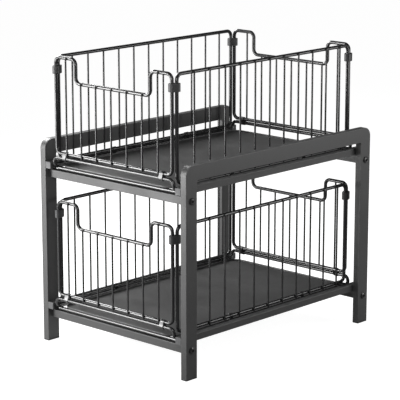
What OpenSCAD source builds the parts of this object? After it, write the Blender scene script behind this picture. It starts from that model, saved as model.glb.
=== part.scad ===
// Two-tier organizer: a painted tube frame that carries two pull-out wire baskets.
// Axes: X to the right, Y to the back, Z up. The front is at the low end of Y.
// Origin: middle of the footprint, on the surface that the feet stand on.

/* [Frame] */
// Overall width over the two side frames
frame_w = 276.2; // [230:0.2:320]
// Overall depth, front posts to rear posts
frame_d = 381.7; // [330:0.1:420]
// Height of the side frames with their foot plugs
frame_h = 287.4; // [250:0.2:330]
// Thickness of the flat frame tube, seen from the front
tube_t = 10; // [8:0.5:12]
// Width of the flat frame tube, seen from the side
tube_w = 20.6; // [18:0.1:24]
// Wall of every frame tube
tube_wall = 1.2; // [0.8:0.1:1.5]
// Outer radius of the bent top corners of a side frame
corner_r = 13; // [8:1:18]

/* [Rails and crossbars] */
// Width of the square rail tube
rail_w = 10; // [8:0.5:11]
// Height of the square rail tube
rail_h = 9.6; // [8:0.1:12]
// Height of the lower rail's underside above the ground
rail_z = 47.4; // [46:0.1:60]
// Depth of the upper rail's underside below the frame's top
upper_rail_drop = 39.6; // [36:0.1:44]
// Depth of a crossbar, front to back
bar_d = 10; // [8:0.5:11]
// Height of a crossbar
bar_h = 11; // [9:0.5:12]
// Gap between a crossbar's top and the rail's underside
bar_gap = 2.3; // [0.8:0.1:3]
// Distance of a crossbar's front face ahead of its screws
bar_lead = 3.15; // [3:0.05:5]
// Length of the threaded plug welded into each end of a crossbar
insert_l = 14; // [13:0.5:20]

/* [Screws and plugs] */
// Diameter of a frame screw's head
head_d = 9.6; // [8:0.1:10.5]
// Height of the straight edge of the head
head_edge = 1; // [0.5:0.1:1.5]
// Height of the domed top of the head
head_dome = 1.5; // [0.8:0.1:2]
// Diameter of a frame screw's shank
shank_d = 5; // [4:0.1:5.2]
// Length of a frame screw's shank
shank_l = 20; // [14:0.5:22]
// Height of a frame screw above the crossbar's underside
screw_rise = 6.2; // [4:0.1:7]
// Width of the hexagon socket across its corners
socket_d = 3.6; // [3:0.1:4]
// Depth of the hexagon socket
socket_depth = 1.6; // [1:0.1:2]
// Thickness of a foot plug below its post
foot_t = 2; // [1.5:0.1:4]
// Thickness of a rail plug outside its rail
cap_t = 1.5; // [1:0.1:2]
// How far every plug reaches into its tube
plug_depth = 9; // [6:0.5:12]

/* [Basket wires] */
// Diameter of the outline wires
heavy_d = 5; // [4:0.1:5]
// Diameter of the filling wires
thin_d = 2.6; // [2:0.1:2.6]
// Bend radius of the panel corners, to the wire's middle
panel_bend = 8; // [6:0.5:10]
// Bend radius where the base wire turns down
ring_bend = 7; // [5:0.1:8]
// Bend radius where the base wire turns into a runner
runner_bend = 4.5; // [4:0.1:5]
// Depth that one welded wire is pressed into the other
weld = 0.45; // [0.4:0.05:0.7]
// Depth that the floor wires are pressed into the runners
floor_weld = 0.3; // [0.2:0.05:0.4]

/* [Basket] */
// Gap from the frame's front plane to the basket's front wire
basket_set_back = 0.7; // [0.7:0.1:4]
// Gap from the basket's rear wire to the frame's rear plane
basket_rear_gap = 11.3; // [4:0.1:14]
// Gap from the lower basket's top to the upper crossbar
head_gap = 28.6; // [20:0.1:50]
// Offset of a front or rear panel's outer wire from the side panel's plane
corner_step = 2.4; // [1:0.1:4]
// Width of a front or rear panel beside its hand notch, to the wires' middle
hump_w = 38.7; // [32:0.1:46]
// Depth of the hand notch
notch_h = 32.5; // [20:0.5:45]
// Height of the front panel's top wire above the side panel's
side_top_step = 0.5; // [0:0.1:5]
// Gap from a front or rear panel's outer wire to its nearest upright wire
face_edge_gap = 22.6; // [20:0.1:28]
// Upright wires on each side of the middle one in those panels
face_half_count = 3; // [3:1:3]
// Number of upright wires in a side panel
side_count = 11; // [7:2:11]
// Gap from a side panel's front wire to its first upright wire
side_front_gap = 29.2; // [22:0.1:34]
// Gap from a side panel's last upright wire to its rear wire
side_rear_gap = 22; // [16:0.1:30]
// Gap between a runner and the rail beside it
runner_gap = 2.6; // [2:0.05:3]
// Depth of a runner's middle below the rail's top
runner_drop = 3.3; // [2.6:0.05:3.6]

/* [Hinges and clips] */
// Height from the base wire up to a panel's bottom wire
hinge_rise = 6; // [5.6:0.05:6.2]
// Offset of a panel's bottom wire towards the inside
hinge_in = 1.8; // [1.5:0.1:2.2]
// Wall of a hinge sleeve
sleeve_wall = 0.9; // [0.6:0.05:0.95]
// Length of a hinge sleeve
sleeve_l = 7; // [5:0.5:8]
// Gap that the moving hinge wire has in its sleeve
sleeve_play = 0.08; // [0.05:0.01:0.1]
// Gap between a sleeve and the upright wire beside it
sleeve_gap = 0.5; // [0.3:0.1:2]
// Thickness of a corner clip round its wires
clip_wall = 2.4; // [2:0.05:2.5]
// Height of a corner clip
clip_h = 11; // [8:0.5:16]
// Depth of a clip's middle below the panel's top wire
clip_drop = 17.5; // [15:0.5:30]
// Offset of a side panel's front wire behind the front panel
side_front_step = 6.3; // [5.5:0.1:8]
// Offset of a side panel's rear wire ahead of the rear panel
side_rear_step = 5.4; // [5:0.1:8]

/* [Tray] */
// Gap from a runner's middle to the tray's side edge
tray_side_gap = 4.7; // [4:0.1:10]
// Thickness of the tray's sheet
tray_t = 0.8; // [0.5:0.1:1.2]
// Height of the tray's edge over its underside
tray_lip = 2.6; // [1.6:0.1:4]
// Corner radius of the tray
tray_r = 20; // [10:1:30]
// Gap from the front wire to the tray's front edge
tray_front_gap = 2.9; // [2:0.1:16]
// Gap from the rear wire to the tray's rear edge
tray_rear_gap = 2.8; // [2:0.1:8]

/* [Glides] */
// Length of a front glide on its rail
glide_l = 62.5; // [30:0.5:90]
// Wall of a front glide under the runner
glide_wall = 1.5; // [1:0.1:1.8]
// Clearance of sliding plastic to wires and rails
glide_play = 0.3; // [0.25:0.05:0.4]
// Distance of the groove's open side from the runner's middle
groove_mouth = 0.8; // [0.7:0.05:1]
// Length of a rear shoe
shoe_l = 13; // [10:0.5:14]
// Thickness of a rear shoe's foot and hook
shoe_t = 2; // [1.6:0.1:2.2]
// How far a rear shoe reaches over and under its rail
shoe_reach = 3; // [2:0.1:4]
// Distance of a rear shoe's rear end from the rear wire
shoe_back = 13.8; // [13.6:0.1:14.5]

/* [Hidden] */

$fn = 48;
wire_facets = 24;
socket_sides = 6;
quarter_turn = 90;
// Overrun of every cut past the face that it opens
over = 1;
// Clearance of the plugs in their tubes and of the screws in their holes
plug_play = 0.1;
hole_play = 0.2;
thread_play = 0.05;
tray_play = 0.05;
// A straight piece of wire shorter than this is left out
least_run = 0.01;

heavy_r = heavy_d / 2;
thin_r = thin_d / 2;
front_y = -frame_d / 2;
rear_y = frame_d / 2;
post_mid = frame_d / 2 - tube_w / 2;
tube_in_x = frame_w / 2 - tube_t;
rail_in_x = tube_in_x - rail_w;
rail_top = rail_z + rail_h;
bar_z = rail_z - bar_gap - bar_h;
tier_pitch = frame_h - upper_rail_drop - rail_z;
screw_z = bar_z + screw_rise;
tiers = [0, tier_pitch];
sides = [-1, 1];

// Places in the lower basket, the upper one is a tier higher
runner_x = rail_in_x - runner_gap - heavy_r;
runner_z = rail_top - runner_drop;
ring_z = runner_z + runner_bend + ring_bend;
ring_front = front_y + basket_set_back + heavy_r;
ring_rear = rear_y - basket_rear_gap - heavy_r;
panel_z = ring_z + hinge_rise;
panel_top = bar_z + tier_pitch - head_gap - heavy_r;
panel_front = ring_front + hinge_in;
panel_rear = ring_rear - hinge_in;
thin_out = heavy_r + thin_r - weld;
side_x = runner_x - hinge_in;
side_z = runner_z + hinge_rise;
side_top = panel_top - side_top_step;
side_front = panel_front + side_front_step;
side_rear = panel_rear - side_rear_step;
side_mid = (side_front + side_rear) / 2;
thin_start = side_front + side_front_gap;
thin_end = side_rear - side_rear_gap;
thin_mid = (thin_start + thin_end) / 2;
side_pitch = (thin_end - thin_start) / (side_count - 1);
panel_w = 2 * (side_x - corner_step);
notch_w = panel_w - 2 * hump_w;
face_pitch = (panel_w / 2 - face_edge_gap) / face_half_count;
sleeve_x = face_half_count * face_pitch + thin_r + sleeve_gap + sleeve_l / 2;
sleeve_y = side_pitch * (floor((side_count - 1) / 4) + 1 / 2);
cross_step = runner_bend + heavy_r;
cross_z = runner_z - heavy_d + floor_weld / 2;
floor_z = runner_z - heavy_r - thin_r + floor_weld;
tray_z = floor_z + thin_r + tray_play;
tray_w = 2 * (runner_x - tray_side_gap);
tray_front = ring_front + tray_front_gap;
tray_rear = ring_rear - tray_rear_gap;
clip_z = panel_top - clip_drop;

// Places of the sliding parts
groove_r = heavy_r + glide_play;
glide_in = runner_x + groove_mouth;
glide_front = ring_front + runner_bend + glide_play;
glide_top = side_z - heavy_r - glide_play * 2;
shoe_rear = ring_rear - shoe_back;
shoe_out = rail_in_x - glide_play;
shoe_in = runner_x - heavy_r - sleeve_wall / 2;
shoe_side = side_x + heavy_r + glide_play * 2;

function unit(v) = v / norm(v);
function turned(v) = [v.y, v.z, v.x];

// Puts its children at a place, with their own axes along a, b and c
module along(a, b, c, place) {
    multmatrix([
        [a.x, b.x, c.x, place.x],
        [a.y, b.y, c.y, place.y],
        [a.z, b.z, c.z, place.z],
        [0, 0, 0, 1]
    ]) children();
}

module straight(from, to, d) {
    heading = unit(to - from);
    across = turned(heading);
    along(across, cross(heading, across), heading, from)
        cylinder(d = d, h = norm(to - from), $fn = wire_facets);
}

// A quarter bend that takes a wire from one heading into the next
module elbow(corner, heading, next, bend, d) {
    along(-next, heading, cross(heading, next), corner - heading * bend + next * bend)
        rotate_extrude(angle = quarter_turn)
            translate([bend, 0]) circle(d = d, $fn = wire_facets);
}

// A closed wire through square corners, each with its own bend radius
module bent_loop(corners, bends, d) {
    count = len(corners);
    for (i = [0 : count - 1]) {
        j = (i + 1) % count;
        k = (i + 2) % count;
        heading = unit(corners[j] - corners[i]);
        from = corners[i] + heading * bends[i];
        to = corners[j] - heading * bends[j];
        if ((to - from) * heading > least_run) straight(from, to, d);
        elbow(corners[j], heading, unit(corners[k] - corners[j]), bends[j], d);
    }
}

// Two bored barrels with a web between them, along Z, first barrel at the origin
module twin_barrel(reach, wall, play, length) {
    difference() {
        union() {
            for (x = [0, reach]) translate([x, 0, 0]) cylinder(r = heavy_r + wall, h = length);
            translate([0, -heavy_r, 0]) cube([reach, heavy_d, length]);
        }
        for (x = [0, reach])
            translate([x, 0, -over]) cylinder(r = heavy_r + play, h = length + 2 * over);
    }
}

// Side view of a side frame, drawn in the plane of Y and Z
module frame_outline(inset) {
    r = corner_r - inset;
    half = frame_d / 2 - inset;
    top = frame_h - inset;
    difference() {
        union() {
            translate([-half, foot_t]) square([2 * half, top - r - foot_t]);
            translate([-half + r, foot_t]) square([2 * (half - r), top - foot_t]);
            for (y = sides) translate([y * (half - r), top - r]) circle(r = r);
        }
        translate([-frame_d / 2 + tube_w - inset, -over])
            square([frame_d - 2 * (tube_w - inset), frame_h - tube_w + inset + over]);
    }
}

module side_frame(side) {
    color([0.22, 0.22, 0.23])
    translate([side * (tube_in_x + tube_t / 2), 0, 0])
    difference() {
        along([0, 1, 0], [0, 0, 1], [1, 0, 0], [-tube_t / 2, 0, 0])
            linear_extrude(tube_t) frame_outline(0);
        along([0, 1, 0], [0, 0, 1], [1, 0, 0], [-tube_t / 2 + tube_wall, 0, 0])
            linear_extrude(tube_t - 2 * tube_wall) frame_outline(tube_wall);
        for (y = sides, z = tiers)
            translate([-tube_t, y * post_mid, z + screw_z])
                rotate([0, quarter_turn, 0]) cylinder(d = shank_d + 2 * hole_play, h = 2 * tube_t);
    }
}

// A square tube with its front plug's flange ahead of it and its rear one behind it
module rail(side, tier) {
    color([0.24, 0.24, 0.25])
    translate([side * (rail_in_x + rail_w / 2), 0, tier + rail_z + rail_h / 2])
    difference() {
        cube([rail_w, frame_d - 2 * cap_t, rail_h], center = true);
        cube([rail_w - 2 * tube_wall, frame_d, rail_h - 2 * tube_wall], center = true);
    }
}

// Square tube with a threaded plug welded into each end, the same part at the front and the rear
module crossbar(post, tier) {
    bar_front = post * post_mid - bar_lead;
    bore_l = shank_l - tube_t + hole_play;
    color([0.24, 0.24, 0.25])
    difference() {
        translate([-tube_in_x, bar_front, tier + bar_z]) cube([2 * tube_in_x, bar_d, bar_h]);
        translate([-tube_in_x + insert_l, bar_front + tube_wall, tier + bar_z + tube_wall])
            cube([2 * (tube_in_x - insert_l), bar_d - 2 * tube_wall, bar_h - 2 * tube_wall]);
        for (x = [-tube_in_x - over, tube_in_x - bore_l])
            translate([x, post * post_mid, tier + screw_z])
                rotate([0, quarter_turn, 0])
                    cylinder(d = shank_d + 2 * thread_play, h = bore_l + over);
    }
}

// Button-head screw along Z, its seat at the origin and its shank downwards
module screw() {
    cap_r = (head_d * head_d / 4 + head_dome * head_dome) / (2 * head_dome);
    difference() {
        union() {
            cylinder(d = head_d, h = head_edge);
            intersection() {
                translate([0, 0, head_edge + head_dome - cap_r]) sphere(r = cap_r);
                cylinder(d = head_d, h = head_edge + head_dome);
            }
            translate([0, 0, -shank_l]) cylinder(d = shank_d, h = shank_l);
        }
        translate([0, 0, head_edge + head_dome - socket_depth])
            cylinder(d = socket_d, h = socket_depth + over, $fn = socket_sides);
    }
}

module frame_screws() {
    color([0.12, 0.12, 0.13])
    for (x = sides, y = sides, z = tiers)
        translate([x * frame_w / 2, y * post_mid, z + screw_z])
            rotate([0, x * quarter_turn, 0]) screw();
}

module foot_plugs() {
    inner_t = tube_t - 2 * (tube_wall + plug_play);
    inner_w = tube_w - 2 * (tube_wall + plug_play);
    color([0.08, 0.08, 0.08])
    for (x = sides, y = sides)
        translate([x * (tube_in_x + tube_t / 2), y * post_mid, 0]) {
            translate([-tube_t / 2, -tube_w / 2, 0]) cube([tube_t, tube_w, foot_t]);
            translate([-inner_t / 2, -inner_w / 2, 0]) cube([inner_t, inner_w, foot_t + plug_depth]);
        }
}

module rail_end_plugs() {
    inner_w = rail_w - 2 * (tube_wall + plug_play);
    inner_h = rail_h - 2 * (tube_wall + plug_play);
    inner_l = cap_t + plug_depth;
    color([0.1, 0.1, 0.1])
    for (x = sides, y = sides, z = tiers)
        translate([x * (rail_in_x + rail_w / 2), y * rear_y, z + rail_z + rail_h / 2]) {
            translate([0, -y * cap_t / 2, 0]) cube([rail_w, cap_t, rail_h], center = true);
            translate([0, -y * inner_l / 2, 0]) cube([inner_w, inner_l, inner_h], center = true);
        }
}

// Grooved nylon block on each rail's inner face, the runner slides in the groove
module front_glides(tier) {
    glide_low = runner_z - groove_r - glide_wall;
    color([0.06, 0.06, 0.06])
    for (x = sides)
        mirror([x < 0 ? 1 : 0, 0, 0])
        translate([0, glide_front, tier])
        difference() {
            translate([glide_in, 0, glide_low])
                cube([rail_in_x - glide_in, glide_l, glide_top - glide_low]);
            translate([runner_x, -over, runner_z])
                rotate([-quarter_turn, 0, 0]) cylinder(r = groove_r, h = glide_l + 2 * over);
        }
}

// One bent wire: raised at the front and the rear, low along the sides as the runners
module base_ring(tier) {
    low = tier + runner_z;
    high = tier + ring_z;
    corners = [
        for (p = [[1, ring_front], [1, ring_rear], [-1, ring_rear], [-1, ring_front]])
            for (z = p[0] * (p[1] - side_mid) < 0 ? [high, low] : [low, high])
                [p[0] * runner_x, p[1], z]
    ];
    bends = [for (c = corners) c.z == low ? runner_bend : ring_bend];
    color([0.1, 0.1, 0.1]) bent_loop(corners, bends, heavy_d);
}

module cross_wires(tier) {
    color([0.1, 0.1, 0.1])
    for (y = [ring_front + cross_step, ring_rear - cross_step])
        straight([-runner_x, y, tier + cross_z], [runner_x, y, tier + cross_z], heavy_d);
}

module floor_wires(tier) {
    color([0.1, 0.1, 0.1])
    for (i = [0 : side_count - 1]) {
        y = thin_start + i * side_pitch;
        straight([-runner_x, y, tier + floor_z], [runner_x, y, tier + floor_z], thin_d);
    }
}

module tray_plan(inset) {
    r = tray_r - inset;
    w = tray_w / 2 - inset;
    y0 = tray_front + inset;
    y1 = tray_rear - inset;
    union() {
        translate([-w, y0 + r]) square([2 * w, y1 - y0 - 2 * r]);
        translate([-w + r, y0]) square([2 * (w - r), y1 - y0]);
        for (x = sides, y = [y0 + r, y1 - r]) translate([x * (w - r), y]) circle(r = r);
    }
}

module tray(tier) {
    color([0.25, 0.25, 0.26])
    translate([0, 0, tier + tray_z])
    difference() {
        linear_extrude(tray_lip) tray_plan(0);
        translate([0, 0, tray_t]) linear_extrude(tray_lip) tray_plan(tray_t);
    }
}

// Front or rear panel: a bent outline with a hand notch, and upright wires outside it
module face_panel(y, outward, tier) {
    low = tier + panel_z;
    high = tier + panel_top;
    dip = high - notch_h;
    half = panel_w / 2;
    hand = notch_w / 2;
    corners = [
        [-half, y, low], [-half, y, high], [-hand, y, high], [-hand, y, dip],
        [hand, y, dip], [hand, y, high], [half, y, high], [half, y, low]
    ];
    wire_y = y + outward * thin_out;
    color([0.1, 0.1, 0.1]) {
        bent_loop(corners, [for (c = corners) panel_bend], heavy_d);
        for (i = [-face_half_count : face_half_count]) {
            x = i * face_pitch;
            top = (abs(x) > hand ? high : dip) + thin_r;
            straight([x, wire_y, low - heavy_r], [x, wire_y, top], thin_d);
        }
    }
}

module side_panel(side, tier) {
    low = tier + side_z;
    high = tier + side_top;
    x = side * side_x;
    corners = [[x, side_front, low], [x, side_front, high], [x, side_rear, high], [x, side_rear, low]];
    wire_x = x + side * thin_out;
    color([0.1, 0.1, 0.1]) {
        bent_loop(corners, [for (c = corners) panel_bend], heavy_d);
        for (i = [0 : side_count - 1]) {
            y = thin_start + i * side_pitch;
            straight([wire_x, y, low - heavy_r], [wire_x, y, high + thin_r], thin_d);
        }
    }
}

// Plastic clip that holds the two upright wires of a corner together
module corner_clip(face_wire, side_wire) {
    step = side_wire - face_wire;
    translate([face_wire.x, face_wire.y, 0])
        rotate([0, 0, atan2(step.y, step.x)])
            twin_barrel(norm(step), clip_wall, plug_play, clip_h);
}

module corner_clips(tier) {
    color([0.42, 0.42, 0.43])
    translate([0, 0, tier + clip_z - clip_h / 2])
    for (x = sides) {
        corner_clip([x * panel_w / 2, panel_front], [x * side_x, side_front]);
        corner_clip([x * panel_w / 2, panel_rear], [x * side_x, side_rear]);
    }
}

// Sheet sleeve that ties a panel's bottom wire to the base wire, turned about the base wire
module hinge_sleeve() {
    translate([0, 0, -sleeve_l / 2])
        rotate([0, 0, atan2(hinge_rise, -hinge_in)])
            twin_barrel(norm([hinge_rise, hinge_in]), sleeve_wall, sleeve_play, sleeve_l);
}

module hinge_sleeves(tier) {
    sleeve_low = -heavy_r - sleeve_wall - over;
    color([0.12, 0.12, 0.13])
    for (x = sides) {
        along([0, -1, 0], [0, 0, 1], [-1, 0, 0], [x * sleeve_x, ring_front, tier + ring_z])
            hinge_sleeve();
        along([0, 1, 0], [0, 0, 1], [1, 0, 0], [x * sleeve_x, ring_rear, tier + ring_z])
            hinge_sleeve();
        // The side sleeves are open on the outside, where the runner lies in its glide
        for (i = sides)
            mirror([x < 0 ? 1 : 0, 0, 0])
            translate([runner_x, thin_mid + i * sleeve_y, tier + runner_z])
            difference() {
                rotate([quarter_turn, 0, 0]) hinge_sleeve();
                translate([glide_in - runner_x - glide_play, -sleeve_l, sleeve_low])
                    cube([heavy_d + over, 2 * sleeve_l, glide_top - runner_z - sleeve_low + glide_play]);
            }
    }
}

// Plastic shoe clipped on the runner, its foot over the rail and its hook under the rail
module rear_shoes(tier) {
    foot_low = rail_top + glide_play;
    hook_top = rail_z - glide_play;
    color([0.06, 0.06, 0.06])
    for (x = sides)
        mirror([x < 0 ? 1 : 0, 0, 0])
        translate([0, shoe_rear - shoe_l, tier])
        difference() {
            union() {
                translate([shoe_in, 0, runner_z - heavy_r - sleeve_wall])
                    cube([shoe_out - shoe_in, shoe_l, glide_top - runner_z + heavy_r + sleeve_wall]);
                translate([shoe_side, 0, runner_z])
                    cube([shoe_out - shoe_side, shoe_l, foot_low + shoe_t - runner_z]);
                translate([shoe_side, 0, foot_low])
                    cube([rail_in_x + shoe_reach - shoe_side, shoe_l, shoe_t]);
                translate([shoe_out - shoe_t, 0, hook_top - shoe_t])
                    cube([shoe_t, shoe_l, runner_z - hook_top + shoe_t]);
                translate([shoe_out - shoe_t, 0, hook_top - shoe_t])
                    cube([shoe_t + shoe_reach, shoe_l, shoe_t]);
            }
            translate([runner_x, -over, runner_z])
                rotate([-quarter_turn, 0, 0]) cylinder(r = heavy_r + sleeve_play, h = shoe_l + 2 * over);
        }
}

side_frame(-1);  // left_side_frame
side_frame(1);  // right_side_frame
rail(-1, tier_pitch);  // upper_left_rail
rail(1, tier_pitch);  // upper_right_rail
rail(-1, 0);  // lower_left_rail
rail(1, 0);  // lower_right_rail
crossbar(-1, tier_pitch);  // upper_front_crossbar
crossbar(1, tier_pitch);  // upper_rear_crossbar
crossbar(-1, 0);  // lower_front_crossbar
crossbar(1, 0);  // lower_rear_crossbar
frame_screws();
foot_plugs();
rail_end_plugs();
front_glides(tier_pitch);  // upper_front_glides
front_glides(0);  // lower_front_glides
base_ring(tier_pitch);  // upper_base_ring
cross_wires(tier_pitch);  // upper_cross_wires
floor_wires(tier_pitch);  // upper_floor_wires
tray(tier_pitch);  // upper_tray
face_panel(panel_front, -1, tier_pitch);  // upper_front_panel
face_panel(panel_rear, 1, tier_pitch);  // upper_rear_panel
side_panel(-1, tier_pitch);  // upper_left_panel
side_panel(1, tier_pitch);  // upper_right_panel
corner_clips(tier_pitch);  // upper_corner_clips
hinge_sleeves(tier_pitch);  // upper_hinge_sleeves
rear_shoes(tier_pitch);  // upper_rear_shoes
base_ring(0);  // lower_base_ring
cross_wires(0);  // lower_cross_wires
floor_wires(0);  // lower_floor_wires
tray(0);  // lower_tray
face_panel(panel_front, -1, 0);  // lower_front_panel
face_panel(panel_rear, 1, 0);  // lower_rear_panel
side_panel(-1, 0);  // lower_left_panel
side_panel(1, 0);  // lower_right_panel
corner_clips(0);  // lower_corner_clips
hinge_sleeves(0);  // lower_hinge_sleeves
rear_shoes(0);  // lower_rear_shoes
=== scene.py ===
import bmesh
import bpy
import numpy as np
from mathutils import Matrix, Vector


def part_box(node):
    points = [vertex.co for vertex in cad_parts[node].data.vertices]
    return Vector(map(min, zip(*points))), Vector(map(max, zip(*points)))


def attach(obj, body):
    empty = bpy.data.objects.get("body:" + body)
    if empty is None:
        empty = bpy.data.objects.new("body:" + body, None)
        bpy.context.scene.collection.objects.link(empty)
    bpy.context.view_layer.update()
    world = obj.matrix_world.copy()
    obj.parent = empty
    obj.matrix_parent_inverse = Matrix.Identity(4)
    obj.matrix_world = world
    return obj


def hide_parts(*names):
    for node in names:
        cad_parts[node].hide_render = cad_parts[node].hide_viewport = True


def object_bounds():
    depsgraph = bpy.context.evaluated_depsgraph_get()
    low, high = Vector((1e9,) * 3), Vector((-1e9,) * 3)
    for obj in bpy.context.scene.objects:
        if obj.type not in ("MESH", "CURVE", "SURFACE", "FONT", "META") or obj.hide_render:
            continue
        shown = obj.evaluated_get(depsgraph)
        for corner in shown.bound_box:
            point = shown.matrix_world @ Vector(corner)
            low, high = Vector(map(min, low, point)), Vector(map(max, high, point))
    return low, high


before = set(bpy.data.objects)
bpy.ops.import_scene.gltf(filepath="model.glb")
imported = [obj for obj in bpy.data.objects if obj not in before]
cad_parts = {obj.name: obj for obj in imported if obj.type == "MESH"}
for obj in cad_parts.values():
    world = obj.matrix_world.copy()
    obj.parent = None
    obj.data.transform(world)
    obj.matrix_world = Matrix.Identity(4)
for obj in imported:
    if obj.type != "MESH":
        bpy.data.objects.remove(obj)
cad_low, cad_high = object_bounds()

# Side frames: two upside-down U shapes of flat steel tube, 20.6 x 10 mm, bent cold at the top corners.
# They are powder coated in dark grey. The coat is baked on, satin, with a fine orange peel, and it is
# thinner and a little lighter on the edges. The rails and crossbars hang between the two.
MM = 0.001
TUBE_WIDTH = 20.6 * MM
TUBE_EDGE = 0.6 * MM
BEND_OUTER = 13 * MM
BEND_INNER = 2 * MM
FLAT_STEP = 0.3 * MM
FRAME_GREY = "#484848"
EDGE_GREY = "#6c6c6c"
FRAME_PEEL = 0.9 * MM
FRAME_SATIN = 0.42


def tone(written):
    """sRGB hex to linear colour: c / 12.92 up to 0.04045, ((c + 0.055) / 1.055) ^ 2.4 above it."""
    c = np.array([int(written[i:i + 2], 16) for i in (1, 3, 5)]) / 255
    linear = np.where(c <= 0.04045, c / 12.92, ((c + 0.055) / 1.055) ** 2.4)
    return (*linear.tolist(), 1.0)


def add(tree, kind, settings=None, links=None):
    """Adds one node, sets its properties and open sockets, and links sockets to other nodes' outputs."""
    node = tree.nodes.new(kind)
    for name, value in (settings or {}).items():
        if isinstance(name, int) or name in node.inputs:
            node.inputs[name].default_value = value
        else:
            setattr(node, name, value)
    for name, source in (links or {}).items():
        tree.links.new(source, node.inputs[name])
    return node


def bare_finish(name, ior):
    """A new material before its patterns: gives it, its node tree, its shader and the Object coordinates."""
    coat = bpy.data.materials.new(name)
    coat.use_nodes = True
    tree = coat.node_tree
    shader = tree.nodes["Principled BSDF"]
    shader.inputs["IOR"].default_value = ior
    return coat, tree, shader, add(tree, "ShaderNodeTexCoord").outputs["Object"]


def powder_coat(name, grey, edge_grey, peel, satin):
    """Baked polyester powder on steel. Peel is the size of the orange peel, satin the roughness.

    Colour = grey * clouds of 50 mm * grain of 2 mm, turned towards edge_grey by the edge attribute
    times a broken-up noise. Roughness = satin + clouds. Height = peel noise.
    """
    coat, tree, shader, place = bare_finish(name, 1.48)
    # The real grain is near 0.3 mm, drawn at 2 mm so that it shows as the photo's soft mottle
    grain = add(tree, "ShaderNodeTexNoise", {"Scale": 1 / (2 * MM), "Detail": 3.0, "Roughness": 0.6},
                {"Vector": place})
    clouds = add(tree, "ShaderNodeTexNoise", {"Scale": 1 / (50 * MM), "Detail": 2.0}, {"Vector": place})
    orange_peel = add(tree, "ShaderNodeTexNoise", {"Scale": 1 / peel, "Detail": 2.0, "Roughness": 0.5},
                      {"Vector": place})
    shade = add(tree, "ShaderNodeMapRange", {"From Min": 0.3, "From Max": 0.7, "To Min": 0.9, "To Max": 1.1},
                {"Value": grain.outputs["Fac"]})
    drift = add(tree, "ShaderNodeMapRange", {"From Min": 0.3, "From Max": 0.7, "To Min": 0.95, "To Max": 1.05},
                {"Value": clouds.outputs["Fac"]})
    both = add(tree, "ShaderNodeMath", {"operation": "MULTIPLY"},
               {0: shade.outputs["Result"], 1: drift.outputs["Result"]})
    ground = add(tree, "ShaderNodeVectorMath", {"operation": "SCALE", 0: tone(grey)[:3]},
                 {"Scale": both.outputs["Value"]})
    edge = add(tree, "ShaderNodeAttribute", {"attribute_name": "edge"})
    broken = add(tree, "ShaderNodeMapRange",
                 {"From Min": 0.35, "From Max": 0.65, "To Min": 0.15, "To Max": 0.8},
                 {"Value": orange_peel.outputs["Fac"]})
    worn = add(tree, "ShaderNodeMath", {"operation": "MULTIPLY"},
               {0: edge.outputs["Fac"], 1: broken.outputs["Result"]})
    colour = add(tree, "ShaderNodeMix", {"data_type": "RGBA", 7: tone(edge_grey)},
                 {0: worn.outputs["Value"], 6: ground.outputs["Vector"]})
    rough = add(tree, "ShaderNodeMapRange",
                {"From Min": 0.3, "From Max": 0.7, "To Min": satin - 0.05, "To Max": satin + 0.07},
                {"Value": clouds.outputs["Fac"]})
    bump = add(tree, "ShaderNodeBump", {"Strength": 0.35, "Distance": 0.08 * MM},
               {"Height": orange_peel.outputs["Fac"]})
    tree.links.new(colour.outputs["Result"], shader.inputs["Base Color"])
    tree.links.new(rough.outputs["Result"], shader.inputs["Roughness"])
    tree.links.new(bump.outputs["Normal"], shader.inputs["Normal"])
    return coat


def corner_arcs(steps):
    """The four quarter circles of a rounded rectangle, anticlockwise, as arrays over its points.

    Gives sign (the corner), arc = (cos a, sin a), lead (the flat's direction at the points just before
    and after each arc, which keep the flats flat, else zero) and worn, 1 on the arcs and 0 on the flats.
    """
    sign = np.array([(1, 1), (-1, 1), (-1, -1), (1, -1)], float)
    angle = np.radians(90 * np.arange(4)[:, None] + np.linspace(0, 90, steps + 1))
    angle = np.concatenate([angle[:, :1], angle, angle[:, -1:]], 1)
    arc = np.stack([np.cos(angle), np.sin(angle)], -1)
    along = np.stack([-np.sin(angle), np.cos(angle)], -1)
    hold = np.zeros(steps + 3)
    hold[0], hold[-1] = -1, 1
    worn = np.tile((hold == 0).astype(float), 4)
    return np.repeat(sign, steps + 3, 0), arc.reshape(-1, 2), (along * hold[:, None]).reshape(-1, 2), worn


def skin(grid, worn=0.0, ring=False):
    """One part from a grid of points: rows follow the path, columns go round the section and close.

    Faces join (row, column) to the next row and column. A ring's last row joins its first, and any
    other grid is closed by a face over each end. Returns points, blocks of faces and the edge values.
    """
    rows, columns = grid.shape[:2]
    index = np.arange(rows * columns).reshape(rows, columns)
    here = index if ring else index[:-1]
    there = np.roll(index, -1, 0) if ring else index[1:]
    quads = np.stack([here, np.roll(here, -1, 1), np.roll(there, -1, 1), there], -1).reshape(-1, 4)
    faces = [quads] if ring else [quads, index[:1, ::-1], index[-1:]]
    return grid.reshape(-1, 3), faces, np.broadcast_to(worn, (rows, columns)).reshape(-1)


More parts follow.
